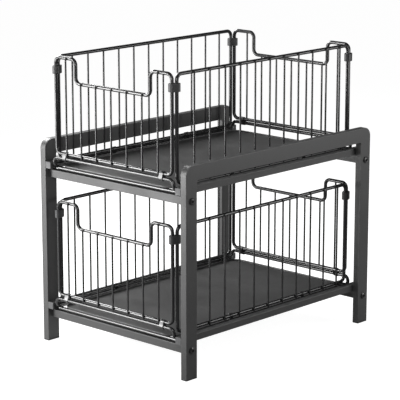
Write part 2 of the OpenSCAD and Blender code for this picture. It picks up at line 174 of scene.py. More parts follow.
def piece(name, parts, coat, sharp=40):
    """One object from several parts, whose faces are turned outwards and shaded smooth.

    The arrays are stacked, each part's indices moved on by the points before it. Edges steeper than
    sharp degrees stay crisp. The edge values go into a float attribute named edge.
    """
    points = np.concatenate([p for p, _, _ in parts]).astype(np.float32)
    starts = np.cumsum([0] + [len(p) for p, _, _ in parts])
    blocks = [block + start for start, (_, faces, _) in zip(starts, parts) for block in faces]
    corners = np.concatenate([block.ravel() for block in blocks]).astype(np.int32)
    counts = np.concatenate([np.full(len(block), block.shape[1]) for block in blocks])
    mesh = bpy.data.meshes.new(name)
    mesh.vertices.add(len(points))
    mesh.vertices.foreach_set("co", points.ravel())
    mesh.loops.add(len(corners))
    mesh.loops.foreach_set("vertex_index", corners)
    mesh.polygons.add(len(counts))
    mesh.polygons.foreach_set("loop_start", (np.cumsum(counts) - counts).astype(np.int32))
    mesh.update(calc_edges=True)
    shell = bmesh.new()
    shell.from_mesh(mesh)
    bmesh.ops.recalc_face_normals(shell, faces=shell.faces)
    shell.to_mesh(mesh)
    shell.free()
    worn = mesh.attributes.new("edge", "FLOAT", "POINT")
    worn.data.foreach_set("value", np.concatenate([w for _, _, w in parts]).astype(np.float32))
    mesh.polygons.foreach_set("use_smooth", np.ones(len(counts), bool))
    mesh.set_sharp_from_angle(angle=np.radians(sharp))
    mesh.materials.append(coat)
    made = bpy.data.objects.new(name, mesh)
    bpy.context.scene.collection.objects.link(made)
    return made


def bent_hoop(low, high):
    """A rounded rectangle carried along an upside-down U in the plane of Y and Z.

    In a corner the outward direction is d = (-cos a, sin a), a point on the outside is
    C + 13 mm * d and one on the inside is c + 2 mm * d. A section point lies at the outer or the inner
    point plus its own offset times d, and X is the middle plus sign * half width plus its offset.
    """
    sign, arc, lead, worn = corner_arcs(5)
    offset = TUBE_EDGE * (arc - sign) + FLAT_STEP * lead
    turn = np.radians(np.linspace(0, 90, 15))
    d = np.stack([-np.cos(turn), np.sin(turn)], 1)
    outer = np.array([low[1] + BEND_OUTER, high[2] - BEND_OUTER]) + BEND_OUTER * d
    inset = TUBE_WIDTH + BEND_INNER
    inner = np.array([low[1] + inset, high[2] - inset]) + BEND_INNER * d
    step = 2 * FLAT_STEP
    outer = np.vstack([[outer[0, 0], low[2]], outer[0] - (0, step), outer, outer[-1] + (step, 0)])
    inner = np.vstack([[inner[0, 0], low[2]], inner[0] - (0, step), inner, inner[-1] + (step, 0)])
    d = np.vstack([d[:1], d[:1], d, d[-1:]])
    swap, middle = np.array([-1, 1]), np.array([low[1] + high[1], 0])
    outer = np.vstack([outer, middle + outer[::-1] * swap])
    inner = np.vstack([inner, middle + inner[::-1] * swap])
    d = np.vstack([d, d[::-1] * swap])
    side_view = np.where(sign[None, :, :1] > 0, outer[:, None], inner[:, None]) + offset[:, :1] * d[:, None]
    across = (low[0] + high[0]) / 2 + sign[:, 1] * (high[0] - low[0]) / 2 + offset[:, 1]
    across = np.broadcast_to(across, side_view.shape[:2])
    return skin(np.concatenate([across[..., None], side_view], -1), worn)


frame_coat = powder_coat("polyester_powder_coat", FRAME_GREY, EDGE_GREY, FRAME_PEEL, FRAME_SATIN)
for side in ("left", "right"):
    low, high = (np.array(c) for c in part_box(side + "_side_frame"))
    hoop = piece("tube_hoop_" + side, [bent_hoop(low, high)], frame_coat)
    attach(hoop, "frame")
    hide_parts(side + "_side_frame")

# Rails: square steel tubes, 10 x 9.6 mm, one on each side of each tier. They run the whole depth, are
# welded to the posts with short beads above and below, and are coated together with the side frames.
RAIL_EDGE = 0.7 * MM
TUBE_CUT = 0.2 * MM
BEAD = 1.0 * MM
BEAD_RIPPLE = 1.6 * MM
BEAD_STEP = 0.27 * MM
POST_CLEAR = 2 * MM


def block(low, high, edge, end, axis):
    """A rounded rectangle carried along one axis, its two ends rounded too.

    Ring p of an end is drawn in by end * (1 - sin p) and lies end * (1 - cos p) from the end's plane.
    A point is centre + sign * (half - edge) + (edge - drawn in) * arc, plus a short lead on the flats.
    """
    low, high = np.array(low, float), np.array(high, float)
    u, v = [a for a in range(3) if a != axis]
    sign, arc, lead, worn = corner_arcs(4)
    p = np.radians(np.linspace(0, 90, 4))
    drawn = end * (1 - np.sin(p))
    depth = end * (1 - np.cos(p))
    half = (high[[u, v]] - low[[u, v]]) / 2
    step = min(FLAT_STEP, (half.min() - edge) / 2)
    drawn = np.concatenate([[(end + edge) / 2], drawn, [0]])
    depth = np.concatenate([[0], depth, [end + step]])
    drawn = np.concatenate([drawn, drawn[::-1]])
    place = np.concatenate([low[axis] + depth, high[axis] - depth[::-1]])
    flat = (low[[u, v]] + high[[u, v]]) / 2 + sign * (half - edge) + step * lead
    ring = flat + (edge - drawn)[:, None, None] * arc
    grid = np.empty((*ring.shape[:2], 3))
    grid[..., u], grid[..., v], grid[..., axis] = ring[..., 0], ring[..., 1], place[:, None]
    end_worn = ((drawn > 0) & (drawn <= end)).astype(float)
    return skin(grid, np.maximum(worn, end_worn[:, None]))


def wire(path, radius, sides, ring=False):
    """A round wire: point = path + radius * (cos a * A + sin a * B), with A and B square to the path.

    T is the mean of the unit steps before and after a point, A = T x D over its length for the one
    direction D = (1, 1, 1), which no wire follows, and B = T x A. The radius may change along the path.
    """
    step = np.roll(path, -1, 0) - path
    step /= np.linalg.norm(step, axis=1, keepdims=True)
    if not ring:
        step[-1] = step[-2]
    before = np.roll(step, 1, 0)
    if not ring:
        before[0] = step[0]
    t = step + before
    t /= np.linalg.norm(t, axis=1, keepdims=True)
    a = np.cross(t, (1.0, 1.0, 1.0))
    a /= np.linalg.norm(a, axis=1, keepdims=True)
    b = np.cross(t, a)
    turn = np.linspace(0, 2 * np.pi, sides, endpoint=False)[:, None]
    radius = np.broadcast_to(radius, len(path))[:, None, None]
    return skin(path[:, None] + radius * (np.cos(turn) * a[:, None] + np.sin(turn) * b[:, None]), ring=ring)


def weld_bead(start, end, radius):
    """A weld bead with the ripples of its puddles: r = radius * (0.82 + 0.18 * |sin(pi s / 1.6 mm)|),
    drawn in to nothing at both ends by (1 - (2 s / length - 1)^8)^(1/2)."""
    start, end = np.array(start, float), np.array(end, float)
    length = np.linalg.norm(end - start)
    s = np.linspace(0, length, int(length / BEAD_STEP))
    ripple = 0.82 + 0.18 * np.abs(np.sin(np.pi * s / BEAD_RIPPLE))
    taper = np.sqrt(np.maximum(1 - (2 * s / length - 1) ** 8, 0.01))
    return wire(start + (end - start) * (s / length)[:, None], radius * ripple * taper, 8)


for tier in ("upper", "lower"):
    rails, beads = [], []
    for side in ("left", "right"):
        low, high = (np.array(c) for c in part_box(f"{tier}_{side}_rail"))
        rails.append(block(low, high, RAIL_EDGE, TUBE_CUT, 1))
        face = high[0] if side == "right" else low[0]
        for y0, y1 in ((cad_low[1] + POST_CLEAR, cad_low[1] + TUBE_WIDTH - POST_CLEAR),
                       (cad_high[1] - TUBE_WIDTH + POST_CLEAR, cad_high[1] - POST_CLEAR)):
            beads += [weld_bead((face, y0, z), (face, y1, z), BEAD) for z in (low[2], high[2])]
    tubes = piece("rail_tubes_" + tier, rails, frame_coat)
    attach(tubes, "frame")
    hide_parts(f"{tier}_left_rail", f"{tier}_right_rail")
    welds = piece("rail_welds_" + tier, beads, frame_coat)
    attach(welds, "frame")

# Crossbars: four lengths of steel tube, 10 x 11 mm, between the posts under each tier, front and rear.
# A threaded plug is welded into each end, so that the flat-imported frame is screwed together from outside.
for tier in ("upper", "lower"):
    bars = []
    for post in ("front", "rear"):
        low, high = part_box(f"{tier}_{post}_crossbar")
        bars.append(block(low, high, RAIL_EDGE, TUBE_CUT, 0))
    crossbars = piece("crossbar_tubes_" + tier, bars, frame_coat)
    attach(crossbars, "frame")
    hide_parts(f"{tier}_front_crossbar", f"{tier}_rear_crossbar")

# Frame screws: eight button-head socket screws, M5, cold-headed steel with a black oxide finish.
# The finish is a thin dark conversion layer, oiled, so it keeps a metal's sheen over fine tool marks.
HEAD_R = 4.8 * MM
HEAD_EDGE = 1.0 * MM
HEAD_DOME = 1.5 * MM
SOCKET_R = 1.8 * MM
SOCKET_DEPTH = 1.6 * MM
OXIDE_BLACK = "#101011"
OILED_BLACK = "#1a1919"
KEY_TURN = 0.37


def black_oxide(name):
    """Dark oxide layer on steel: near black, roughness 0.25 to 0.42 by fine tool marks of 0.4 mm."""
    coat, tree, shader, place = bare_finish(name, 1.6)
    marks = add(tree, "ShaderNodeTexNoise", {"Scale": 1 / (0.4 * MM), "Detail": 2.0}, {"Vector": place})
    rough = add(tree, "ShaderNodeMapRange", {"From Min": 0.3, "From Max": 0.7, "To Min": 0.25, "To Max": 0.42},
                {"Value": marks.outputs["Fac"]})
    tint = add(tree, "ShaderNodeMix", {"data_type": "RGBA", 6: tone(OXIDE_BLACK), 7: tone(OILED_BLACK)},
               {0: marks.outputs["Fac"]})
    bump = add(tree, "ShaderNodeBump", {"Strength": 0.2, "Distance": 0.03 * MM},
               {"Height": marks.outputs["Fac"]})
    tree.links.new(tint.outputs["Result"], shader.inputs["Base Color"])
    tree.links.new(rough.outputs["Result"], shader.inputs["Roughness"])
    tree.links.new(bump.outputs["Normal"], shader.inputs["Normal"])
    return coat


def button_head(seat, outward, y, z, turned):
    """A screw head turned about X: radius and height follow one profile, whose section goes from round to
    hexagonal at the socket. Dome: h = edge + dome - R + (R^2 - r^2)^(1/2). Hexagon: r = rc * cos 30 /
    cos(a mod 60 - 30)."""
    sphere = (HEAD_R ** 2 + HEAD_DOME ** 2) / (2 * HEAD_DOME)
    r = np.linspace(HEAD_R * 0.985, SOCKET_R * 1.16, 7)
    dome = HEAD_EDGE + HEAD_DOME - sphere + np.sqrt(sphere ** 2 - r ** 2)
    rim = [(HEAD_R * 0.95, -0.05 * MM, 0), (HEAD_R * 0.985, 0.03 * MM, 0), (HEAD_R, 0.2 * MM, 0),
           (HEAD_R, HEAD_EDGE * 0.85, 0)]
    top = HEAD_EDGE + HEAD_DOME
    socket = [(SOCKET_R * 1.06, dome[-1] - 0.03 * MM, 0.6), (SOCKET_R, dome[-1] - 0.15 * MM, 1),
              (SOCKET_R, top - SOCKET_DEPTH, 1), (SOCKET_R * 0.9, top - SOCKET_DEPTH, 1)]
    profile = np.array(rim + [(a, b, 0) for a, b in zip(r, dome)] + socket)
    angle = np.linspace(0, 2 * np.pi, 36, endpoint=False)
    hexagon = np.cos(np.pi / 6) / np.cos(np.mod(angle, np.pi / 3) - np.pi / 6)
    radius = profile[:, :1] * (1 - profile[:, 2:] + profile[:, 2:] * hexagon)
    grid = np.stack([np.broadcast_to(seat + outward * profile[:, 1:2], radius.shape),
                     y + radius * np.cos(angle + turned), z + radius * np.sin(angle + turned)], -1)
    return skin(grid)


heads = []
low, high = (np.array(c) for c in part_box("frame_screws"))
post_mid = cad_high[1] - TUBE_WIDTH / 2
outer_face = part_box("right_side_frame")[1][0]
for k, (x, y, z) in enumerate([(x, y, z) for x in (-1, 1) for y in (-1, 1) for z in (0, 1)]):
    height = low[2] + HEAD_R if z == 0 else high[2] - HEAD_R
    heads.append(button_head(x * outer_face, x, y * post_mid, height, KEY_TURN * k * k))
screws = piece("button_head_screws", heads, black_oxide("black_oxide_steel"), 30)
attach(screws, "frame")
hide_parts("frame_screws")

# Plugs: moulded low-density polyethylene. The four foot plugs close the posts and stand on the floor, and
# the eight square ones close the rail ends. All are pushed in, and each flange covers its tube's cut.
PLUG_END = 0.45 * MM
FOOT_BLACK = "#1f1f20"
RAIL_PLUG_GREY = "#585859"


def polyethylene(name, grey):
    """Moulded polyethylene: waxy and even, roughness 0.5, with the fine pits of an eroded mould, 0.6 mm."""
    coat, tree, shader, place = bare_finish(name, 1.51)
    pits = add(tree, "ShaderNodeTexNoise", {"Scale": 1 / (0.6 * MM), "Detail": 3.0}, {"Vector": place})
    scuffs = add(tree, "ShaderNodeTexNoise", {"Scale": 1 / (6 * MM), "Detail": 4.0}, {"Vector": place})
    rough = add(tree, "ShaderNodeMapRange", {"From Min": 0.3, "From Max": 0.7, "To Min": 0.42, "To Max": 0.6},
                {"Value": scuffs.outputs["Fac"]})
    shade = add(tree, "ShaderNodeMapRange", {"From Min": 0.3, "From Max": 0.7, "To Min": 0.9, "To Max": 1.12},
                {"Value": scuffs.outputs["Fac"]})
    colour = add(tree, "ShaderNodeVectorMath", {"operation": "SCALE", 0: tone(grey)[:3]},
                 {"Scale": shade.outputs["Result"]})
    bump = add(tree, "ShaderNodeBump", {"Strength": 0.3, "Distance": 0.04 * MM},
               {"Height": pits.outputs["Fac"]})
    tree.links.new(colour.outputs["Vector"], shader.inputs["Base Color"])
    tree.links.new(rough.outputs["Result"], shader.inputs["Roughness"])
    tree.links.new(bump.outputs["Normal"], shader.inputs["Normal"])
    return coat


foot_low, foot_high = (np.array(c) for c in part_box("foot_plugs"))
hoop_low, hoop_high = (np.array(c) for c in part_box("right_side_frame"))
feet = []
for x in (-1, 1):
    x0, x1 = sorted((x * hoop_low[0], x * hoop_high[0]))
    for y0, y1 in ((foot_low[1], foot_low[1] + TUBE_WIDTH), (foot_high[1] - TUBE_WIDTH, foot_high[1])):
        feet.append(block((x0, y0, foot_low[2]), (x1, y1, hoop_low[2]), TUBE_EDGE, PLUG_END, 2))
foot_flanges = piece("foot_plug_flanges", feet, polyethylene("black_polyethylene", FOOT_BLACK))
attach(foot_flanges, "frame")
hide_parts("foot_plugs")

ends = []
cap_low, cap_high = (np.array(c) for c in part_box("rail_end_plugs"))
for tier in ("upper", "lower"):
    for side in ("left", "right"):
        low, high = (np.array(c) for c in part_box(f"{tier}_{side}_rail"))
        for y0, y1 in ((cap_low[1], low[1]), (high[1], cap_high[1])):
            ends.append(block((low[0], y0, low[2]), (high[0], y1, high[2]), RAIL_EDGE, PLUG_END, 1))
rail_caps = piece("rail_plug_flanges", ends, polyethylene("grey_polyethylene", RAIL_PLUG_GREY))
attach(rail_caps, "frame")
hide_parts("rail_end_plugs")

# Front glides: grooved blocks of moulded black nylon, one on the inner face of each rail near the front.
# They are fixed to the rail before the basket goes in, and the basket's runner wire slides in the groove.
WIRE_R = 2.5 * MM
RUNNER_X = 113 * MM
RUNNER_DROP = 3.3 * MM
GROOVE_R = 2.8 * MM
GROOVE_MOUTH = 0.8 * MM
MOULD_EDGE = 0.25 * MM
NYLON_BLACK = "#161617"


def nylon(name):
    """Moulded nylon: near black, roughness 0.3 to 0.46 by flow marks of 3 mm, which also stand proud."""
    coat, tree, shader, place = bare_finish(name, 1.53)
    shader.inputs["Base Color"].default_value = tone(NYLON_BLACK)
    flow = add(tree, "ShaderNodeTexNoise", {"Scale": 1 / (3 * MM), "Detail": 3.0, "Distortion": 0.8},
               {"Vector": place})
    rough = add(tree, "ShaderNodeMapRange", {"From Min": 0.3, "From Max": 0.7, "To Min": 0.3, "To Max": 0.46},
                {"Value": flow.outputs["Fac"]})
    bump = add(tree, "ShaderNodeBump", {"Strength": 0.25, "Distance": 0.04 * MM},
               {"Height": flow.outputs["Fac"]})
    tree.links.new(rough.outputs["Result"], shader.inputs["Roughness"])
    tree.links.new(bump.outputs["Normal"], shader.inputs["Normal"])
    return coat


def extrusion(outline, y0, y1):
    """A closed outline in X and Z, drawn straight from y0 to y1."""
    ends = np.array([y0, y1])[:, None]
    x, z = (np.broadcast_to(c, (2, len(outline))) for c in np.array(outline).T)
    return skin(np.stack([x, np.broadcast_to(ends, x.shape), z], -1))


def rounded(made, width):
    """A live bevel of two segments on every edge steeper than 40 degrees."""
    bevel = made.modifiers.new("mould_radius", "BEVEL")
    bevel.width, bevel.segments = width, 2
    bevel.limit_method, bevel.angle_limit = "ANGLE", np.radians(40)
    return made


black_nylon = nylon("black_nylon")
for tier in ("upper", "lower"):
    low, high = (np.array(c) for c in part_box(tier + "_front_glides"))
    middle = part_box(f"{tier}_right_rail")[1][2] - RUNNER_DROP
    inner = RUNNER_X + GROOVE_MOUTH
    mouth = np.arccos(GROOVE_MOUTH / GROOVE_R)
    arc = np.linspace(mouth, -mouth, 18)
    groove = [(RUNNER_X + GROOVE_R * c, middle + GROOVE_R * s) for c, s in zip(np.cos(arc), np.sin(arc))]
    outline = np.array([(inner, low[2]), (high[0], low[2]), (high[0], high[2]), (inner, high[2])] + groove)
    pair = [extrusion(outline * (side, 1), low[1], high[1]) for side in (-1, 1)]
    glides = rounded(piece("grooved_glides_" + tier, pair, black_nylon), MOULD_EDGE)
    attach(glides, "frame")
    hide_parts(tier + "_front_glides")

# Base of each basket: one bent wire of 5 mm, raised at both ends and low along the sides as the runners,
# two heavy cross wires and eleven thin ones. They are steel, resistance welded where they cross, then
# coated in gloss black epoxy, which flows out smooth and pools a little at the welds.
THIN_R = 1.3 * MM
WELD_SPREAD = 1.6 * MM
COAT_BLACK = "#1f1f20"
DUST_BLACK = "#262627"
RING_BEND = 7 * MM
RUNNER_BEND = 4.5 * MM
HEAVY_SIDES = 20
HEAVY_WELD = 1 * MM
THIN_WELD = 0.5 * MM
FLOOR_WIRES = 11


def gloss_epoxy(name):
    """Gloss black epoxy over wire: IOR 1.55, roughness 0.14 to 0.22 by the way it flowed out over 12 mm,
    with slow waves of 5 mm in its height and a dust grain of 1.5 mm in its colour."""
    coat, tree, shader, place = bare_finish(name, 1.55)
    flow = add(tree, "ShaderNodeTexNoise", {"Scale": 1 / (12 * MM), "Detail": 2.0}, {"Vector": place})
    waves = add(tree, "ShaderNodeTexNoise", {"Scale": 1 / (5 * MM), "Detail": 1.0}, {"Vector": place})
    dust = add(tree, "ShaderNodeTexNoise", {"Scale": 1 / (1.5 * MM), "Detail": 3.0}, {"Vector": place})
    rough = add(tree, "ShaderNodeMapRange", {"From Min": 0.3, "From Max": 0.7, "To Min": 0.14, "To Max": 0.22},
                {"Value": flow.outputs["Fac"]})
    tint = add(tree, "ShaderNodeMix", {"data_type": "RGBA", 6: tone(COAT_BLACK), 7: tone(DUST_BLACK)},
               {0: dust.outputs["Fac"]})
    bump = add(tree, "ShaderNodeBump", {"Strength": 0.012, "Distance": 0.05 * MM},
               {"Height": waves.outputs["Fac"]})
    tree.links.new(tint.outputs["Result"], shader.inputs["Base Color"])
    tree.links.new(rough.outputs["Result"], shader.inputs["Roughness"])
    tree.links.new(bump.outputs["Normal"], shader.inputs["Normal"])
    return coat


def bent_path(corners, bends):
    """The middle line of a closed bent wire. Corner c, between unit headings h and n with bend b, becomes
    c - b * h * (1 - sin a) + b * n * (1 - cos a) for a from 0 to 90 degrees."""
    corners = np.array(corners, float)
    step = np.roll(corners, -1, 0) - corners
    length = np.linalg.norm(step, axis=1)
    n = step / length[:, None]
    h = np.roll(n, 1, 0)
    b = np.broadcast_to(np.array(bends, float), len(corners))
    free = length - b - np.roll(b, -1)
    lead = np.minimum(FLAT_STEP * 2, np.maximum(free, 0) / 3)
    a = np.radians(np.linspace(0, 90, 11))
    cut, gain = np.concatenate([[1], 1 - np.sin(a), [0]]), np.concatenate([[0], 1 - np.cos(a), [1]])
    before, after = b + np.roll(lead, 1), b + lead
    back = np.broadcast_to(b[:, None], (len(b), len(cut))).copy()
    ahead = back.copy()
    back[:, 0], ahead[:, -1] = before, after
    path = corners[:, None] - (back * cut)[..., None] * h[:, None] + (ahead * gain)[..., None] * n[:, None]
    path = path.reshape(-1, 3)
    apart = np.linalg.norm(path - np.roll(path, 1, 0), axis=1) > 1e-6
    return path[apart]


def rods(starts, ends, radius, welds, sides=14):
    """Straight wires with domed ends, thicker where they are welded to another.

    r(s) = R * (1 + 0.16 * the sum of exp(-((s - w) / 1.6 mm)^2)), and over the last R of each end it is
    times (1 - (1 - s / R)^2)^(1/2). Welds are distances w from the start.
    """
    starts, ends = np.atleast_2d(starts).astype(float), np.atleast_2d(ends).astype(float)
    length = np.linalg.norm(ends[0] - starts[0])
    dome = radius * (1 - np.cos(np.radians(np.linspace(8, 90, 5))))
    near = np.array(welds)[:, None] + np.linspace(-3, 3, 9) * MM
    s = np.unique(np.concatenate([dome, length - dome, near.ravel()]).round(7))
    s = s[(s >= dome[0]) & (s <= length - dome[0])]
    swell = 1 + 0.16 * np.exp(-((s[:, None] - np.array(welds)) / WELD_SPREAD) ** 2).sum(1)
    tip = np.minimum(np.minimum(s, length - s) / radius, 1)
    radii = radius * swell * np.sqrt(1 - (1 - tip) ** 2)
    share = (s / length)[:, None]
    return [wire(a + (b - a) * share, radii, sides) for a, b in zip(starts, ends)]


black_epoxy = gloss_epoxy("gloss_black_epoxy")
for tier in ("upper", "lower"):
    low, high = (np.array(c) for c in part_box(tier + "_base_ring"))
    x, y0, y1 = high[0] - WIRE_R, low[1] + WIRE_R, high[1] - WIRE_R
    runner_z, ring_z = low[2] + WIRE_R, high[2] - WIRE_R
    corners = [(x, y0, ring_z), (x, y0, runner_z), (x, y1, runner_z), (x, y1, ring_z),
               (-x, y1, ring_z), (-x, y1, runner_z), (-x, y0, runner_z), (-x, y0, ring_z)]
    bends = [RUNNER_BEND if c[2] == runner_z else RING_BEND for c in corners]
    loop = [wire(bent_path(corners, bends), WIRE_R, HEAVY_SIDES, ring=True)]
    base = piece("base_wire_" + tier, loop, black_epoxy)
    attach(base, tier + "_basket")
    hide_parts(tier + "_base_ring")

    low, high = (np.array(c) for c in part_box(tier + "_cross_wires"))
    y = np.array([low[1] + WIRE_R, high[1] - WIRE_R])
    z = (low[2] + high[2]) / 2
    starts = np.stack([np.full(2, low[0]), y, np.full(2, z)], 1)
    welds = (HEAVY_WELD, high[0] - low[0] - HEAVY_WELD)
    pair = rods(starts, starts * (-1, 1, 1), WIRE_R, welds, HEAVY_SIDES)
    cross = piece("heavy_cross_wires_" + tier, pair, black_epoxy)
    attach(cross, tier + "_basket")
    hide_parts(tier + "_cross_wires")

    low, high = (np.array(c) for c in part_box(tier + "_floor_wires"))
    y = np.linspace(low[1] + THIN_R, high[1] - THIN_R, FLOOR_WIRES)
    x, z = np.full(FLOOR_WIRES, low[0]), np.full(FLOOR_WIRES, (low[2] + high[2]) / 2)
    starts = np.stack([x, y, z], 1)
    rungs = rods(starts, starts * (-1, 1, 1), THIN_R, (THIN_WELD, high[0] - low[0] - THIN_WELD))
    thin = piece("thin_floor_wires_" + tier, rungs, black_epoxy)
    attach(thin, tier + "_basket")
    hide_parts(tier + "_floor_wires")

# Trays: 0.8 mm steel sheet, cut with round corners, its edge pressed up into a low lip.
# They lie loose on the floor wires and carry the same powder coat as the frame, a little smoother.
SHEET = 0.8 * MM
TRAY_CORNER = 20 * MM
TRAY_BEND = 1.5 * MM
TRAY_GREY = "#464646"
TRAY_EDGE_GREY = "#666666"
TRAY_PEEL = 1.2 * MM
TRAY_SATIN = 0.36
TRAY_LEAD = 0.5 * MM
LIP_LAND = 2 * MM


def pressed_tray(low, high):
    """Rings of a rounded rectangle, each drawn in by d and set at height z, from under the floor round the
    lip's rim and back over the floor. Both bends of the lip are quarter circles."""
    sign, arc, lead, _ = corner_arcs(14)
    bend = np.radians(np.linspace(0, 90, 6))
    inner = TRAY_BEND - SHEET
    under = np.stack([TRAY_BEND * (1 - np.sin(bend)), TRAY_BEND * (1 - np.cos(bend))], 1)
    rim = np.radians(np.linspace(0, 180, 7))
    top = high[2] - low[2] - SHEET / 2
    rim = np.stack([SHEET / 2 * (1 - np.cos(rim)), top + SHEET / 2 * np.sin(rim)], 1)
    over = np.stack([TRAY_BEND - inner * np.sin(bend[::-1]), TRAY_BEND - inner * np.cos(bend[::-1])], 1)
    profile = np.vstack([[TRAY_BEND + LIP_LAND, 0], under, rim, over, [TRAY_BEND + LIP_LAND, SHEET]])
    half = (high[:2] - low[:2]) / 2
    drawn = profile[:, 0][:, None, None]
    plan = (low[:2] + high[:2]) / 2 + sign * (half - TRAY_CORNER) + (TRAY_CORNER - drawn) * arc
    plan = plan + TRAY_LEAD * lead
    z = np.broadcast_to(low[2] + profile[:, 1:2], plan.shape[:2])
    worn = np.zeros(len(profile))
    worn[7:14] = 1
    return skin(np.concatenate([plan, z[..., None]], -1), worn[:, None])


tray_coat = powder_coat("tray_powder_coat", TRAY_GREY, TRAY_EDGE_GREY, TRAY_PEEL, TRAY_SATIN)
for tier in ("upper", "lower"):
    low, high = (np.array(c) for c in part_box(tier + "_tray"))
    sheet = piece("sheet_tray_" + tier, [pressed_tray(low, high)], tray_coat)
    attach(sheet, tier + "_basket")
    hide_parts(tier + "_tray")

# Front and rear panels: a 5 mm wire bent into a closed outline with a hand notch, and seven thin upright
# wires welded to its outer side. Same steel and same gloss black epoxy as the base.
PANEL_BEND = 8 * MM
NOTCH_DEPTH = 32.5 * MM
HUMP_WIDTH = 38.7 * MM
FACE_OUTER = 3
FACE_PITCH = 86.2 / FACE_OUTER * MM

for tier in ("upper", "lower"):
    for end, outward in (("front", -1), ("rear", 1)):
        low, high = (np.array(c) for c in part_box(f"{tier}_{end}_panel"))
        x, z0, z1 = high[0] - WIRE_R, low[2] + WIRE_R, high[2] - WIRE_R
        y = high[1] - WIRE_R if outward < 0 else low[1] + WIRE_R
        notch, dip = x - HUMP_WIDTH, z1 - NOTCH_DEPTH
        corners = [(-x, y, z0), (-x, y, z1), (-notch, y, z1), (-notch, y, dip),
                   (notch, y, dip), (notch, y, z1), (x, y, z1), (x, y, z0)]
        wires = [wire(bent_path(corners, PANEL_BEND), WIRE_R, HEAVY_SIDES, ring=True)]
        out = low[1] + THIN_R if outward < 0 else high[1] - THIN_R
        under_notch, beside_it = np.arange(1 - FACE_OUTER, FACE_OUTER), np.array([-FACE_OUTER, FACE_OUTER])
        for columns, top in ((under_notch, dip), (beside_it, z1)):
            foot = np.stack([columns * FACE_PITCH, np.full(len(columns), out),
                             np.full(len(columns), z0 - WIRE_R)], 1)
            tall = top + THIN_R - (z0 - WIRE_R)
            wires += rods(foot, foot + (0, 0, tall), THIN_R, (WIRE_R, tall - THIN_R))
        panel = piece(f"notched_panel_{tier}_{end}", wires, black_epoxy)
        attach(panel, tier + "_basket")
        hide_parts(f"{tier}_{end}_panel")

# Side panels: the same wire bent into a plain rectangle with round corners, and eleven thin uprights welded
# to its outer side. They stand on the runners and reach nearly as high as the front.
SIDE_FRONT_GAP = 29.2 * MM
SIDE_REAR_GAP = 22 * MM
SIDE_BARS = 11

for tier in ("upper", "lower"):
    for side, outward in (("left", -1), ("right", 1)):
        low, high = (np.array(c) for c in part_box(f"{tier}_{side}_panel"))
        y0, y1, z0, z1 = low[1] + WIRE_R, high[1] - WIRE_R, low[2] + WIRE_R, high[2] - WIRE_R
        x = high[0] - WIRE_R if outward < 0 else low[0] + WIRE_R
        corners = [(x, y0, z0), (x, y0, z1), (x, y1, z1), (x, y1, z0)]
        wires = [wire(bent_path(corners, PANEL_BEND), WIRE_R, HEAVY_SIDES, ring=True)]
        out = low[0] + THIN_R if outward < 0 else high[0] - THIN_R
        along = np.linspace(y0 + SIDE_FRONT_GAP, y1 - SIDE_REAR_GAP, SIDE_BARS)
        foot = np.stack([np.full(SIDE_BARS, out), along, np.full(SIDE_BARS, z0 - WIRE_R)], 1)
        tall = z1 + THIN_R - (z0 - WIRE_R)
        wires += rods(foot, foot + (0, 0, tall), THIN_R, (WIRE_R, tall - THIN_R))
        panel = piece(f"barred_panel_{tier}_{side}", wires, black_epoxy)
        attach(panel, tier + "_basket")
        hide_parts(f"{tier}_{side}_panel")

# Corner clips: moulded from dark grey polypropylene, snapped over the two upright wires of each corner.
# They are solid in colour and satin, with the soft sheen of a polished mould on both round flanks.
CLIP_R = 4.9 * MM
CLIP_EDGE = 0.4 * MM
CLIP_GREY = "#3c3c3d"


def polypropylene(name, grey):
    """Moulded polypropylene, IOR 1.49, roughness 0.34 to 0.5 by flow lines 4 mm apart, which also stand
    very slightly proud, and a cloudiness of 8 mm in the colour."""
    coat, tree, shader, place = bare_finish(name, 1.49)
    flow = add(tree, "ShaderNodeTexNoise", {"Scale": 1 / (4 * MM), "Detail": 3.0, "Distortion": 1.2},
               {"Vector": place})
    cloud = add(tree, "ShaderNodeTexNoise", {"Scale": 1 / (8 * MM), "Detail": 2.0}, {"Vector": place})
    rough = add(tree, "ShaderNodeMapRange", {"From Min": 0.3, "From Max": 0.7, "To Min": 0.34, "To Max": 0.5},
                {"Value": flow.outputs["Fac"]})
    shade = add(tree, "ShaderNodeMapRange", {"From Min": 0.3, "From Max": 0.7, "To Min": 0.88, "To Max": 1.12},
                {"Value": cloud.outputs["Fac"]})
    colour = add(tree, "ShaderNodeVectorMath", {"operation": "SCALE", 0: tone(grey)[:3]},
                 {"Scale": shade.outputs["Result"]})
    bump = add(tree, "ShaderNodeBump", {"Strength": 0.1, "Distance": 0.03 * MM},
               {"Height": flow.outputs["Fac"]})
    tree.links.new(colour.outputs["Vector"], shader.inputs["Base Color"])
    tree.links.new(rough.outputs["Result"], shader.inputs["Roughness"])
    tree.links.new(bump.outputs["Normal"], shader.inputs["Normal"])
    return coat


